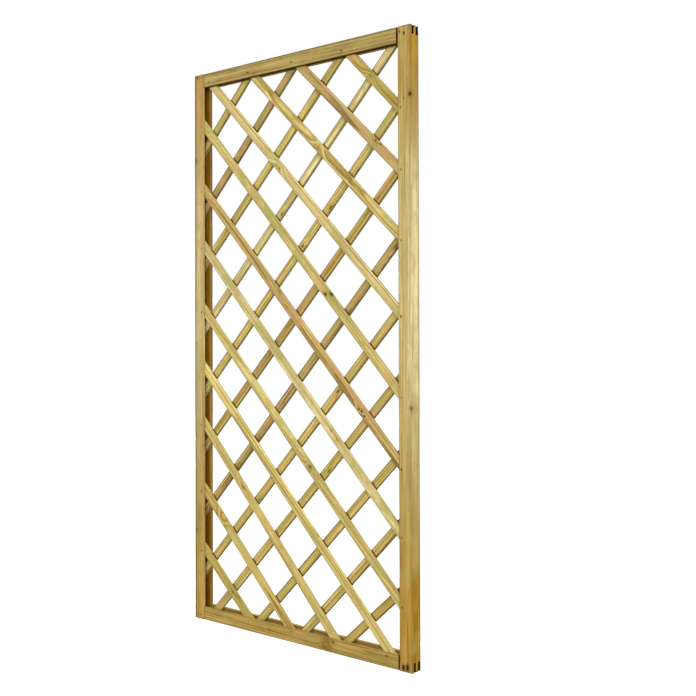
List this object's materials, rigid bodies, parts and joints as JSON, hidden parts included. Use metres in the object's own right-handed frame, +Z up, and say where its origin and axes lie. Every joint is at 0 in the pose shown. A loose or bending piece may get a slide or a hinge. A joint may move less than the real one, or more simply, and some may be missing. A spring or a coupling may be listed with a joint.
{
  "type": "wooden trellis panel",
  "caption": "Upright rectangular panel of two crossed layers of diagonal wooden slats held in a grooved timber frame, for screening and climbing plants.",
  "frame": {"origin": "under the middle of the panel, level with the lower edge of the bottom rail, halfway through its depth", "axes": "+X across the panel to the right seen from its front, +Y from the front to the back, +Z up"},
  "size_m": [0.9, 0.04, 1.8],
  "materials": {
    "frame_timber": "planed softwood, pressure treated, unpainted",
    "front_slat_timber": "planed softwood, pressure treated, unpainted",
    "back_slat_timber": "planed softwood, pressure treated, unpainted",
    "fixing_iron": "dull steel wire, darkened"
  },
  "bodies": {
    "root": {"left_stile": "frame_timber", "right_stile": "frame_timber", "top_rail": "frame_timber", "bottom_rail": "frame_timber", "front_slat_01": "front_slat_timber", "front_slat_02": "front_slat_timber", "front_slat_03": "front_slat_timber", "front_slat_04": "front_slat_timber", "front_slat_05": "front_slat_timber", "front_slat_06": "front_slat_timber", "front_slat_07": "front_slat_timber", "front_slat_08": "front_slat_timber", "front_slat_09": "front_slat_timber", "front_slat_10": "front_slat_timber", "front_slat_11": "front_slat_timber", "front_slat_12": "front_slat_timber", "back_slat_01": "back_slat_timber", "back_slat_02": "back_slat_timber", "back_slat_03": "back_slat_timber", "back_slat_04": "back_slat_timber", "back_slat_05": "back_slat_timber", "back_slat_06": "back_slat_timber", "back_slat_07": "back_slat_timber", "back_slat_08": "back_slat_timber", "back_slat_09": "back_slat_timber", "back_slat_10": "back_slat_timber", "back_slat_11": "back_slat_timber", "back_slat_12": "back_slat_timber", "pin_upper_01": "fixing_iron", "pin_upper_02": "fixing_iron", "pin_upper_03": "fixing_iron", "pin_upper_04": "fixing_iron", "pin_upper_05": "fixing_iron", "pin_upper_06": "fixing_iron", "pin_upper_07": "fixing_iron", "pin_upper_08": "fixing_iron", "pin_upper_09": "fixing_iron", "pin_upper_10": "fixing_iron", "pin_upper_11": "fixing_iron", "pin_upper_12": "fixing_iron", "pin_lower_01": "fixing_iron", "pin_lower_02": "fixing_iron", "pin_lower_03": "fixing_iron", "pin_lower_04": "fixing_iron", "pin_lower_05": "fixing_iron", "pin_lower_06": "fixing_iron", "pin_lower_07": "fixing_iron", "pin_lower_08": "fixing_iron", "pin_lower_09": "fixing_iron", "pin_lower_10": "fixing_iron", "pin_lower_11": "fixing_iron", "pin_lower_12": "fixing_iron", "nail_top_left_1": "fixing_iron", "nail_top_left_2": "fixing_iron", "nail_top_right_1": "fixing_iron", "nail_top_right_2": "fixing_iron", "nail_bottom_left_1": "fixing_iron", "nail_bottom_left_2": "fixing_iron", "nail_bottom_right_1": "fixing_iron", "nail_bottom_right_2": "fixing_iron"}
  },
  "joints": []
}
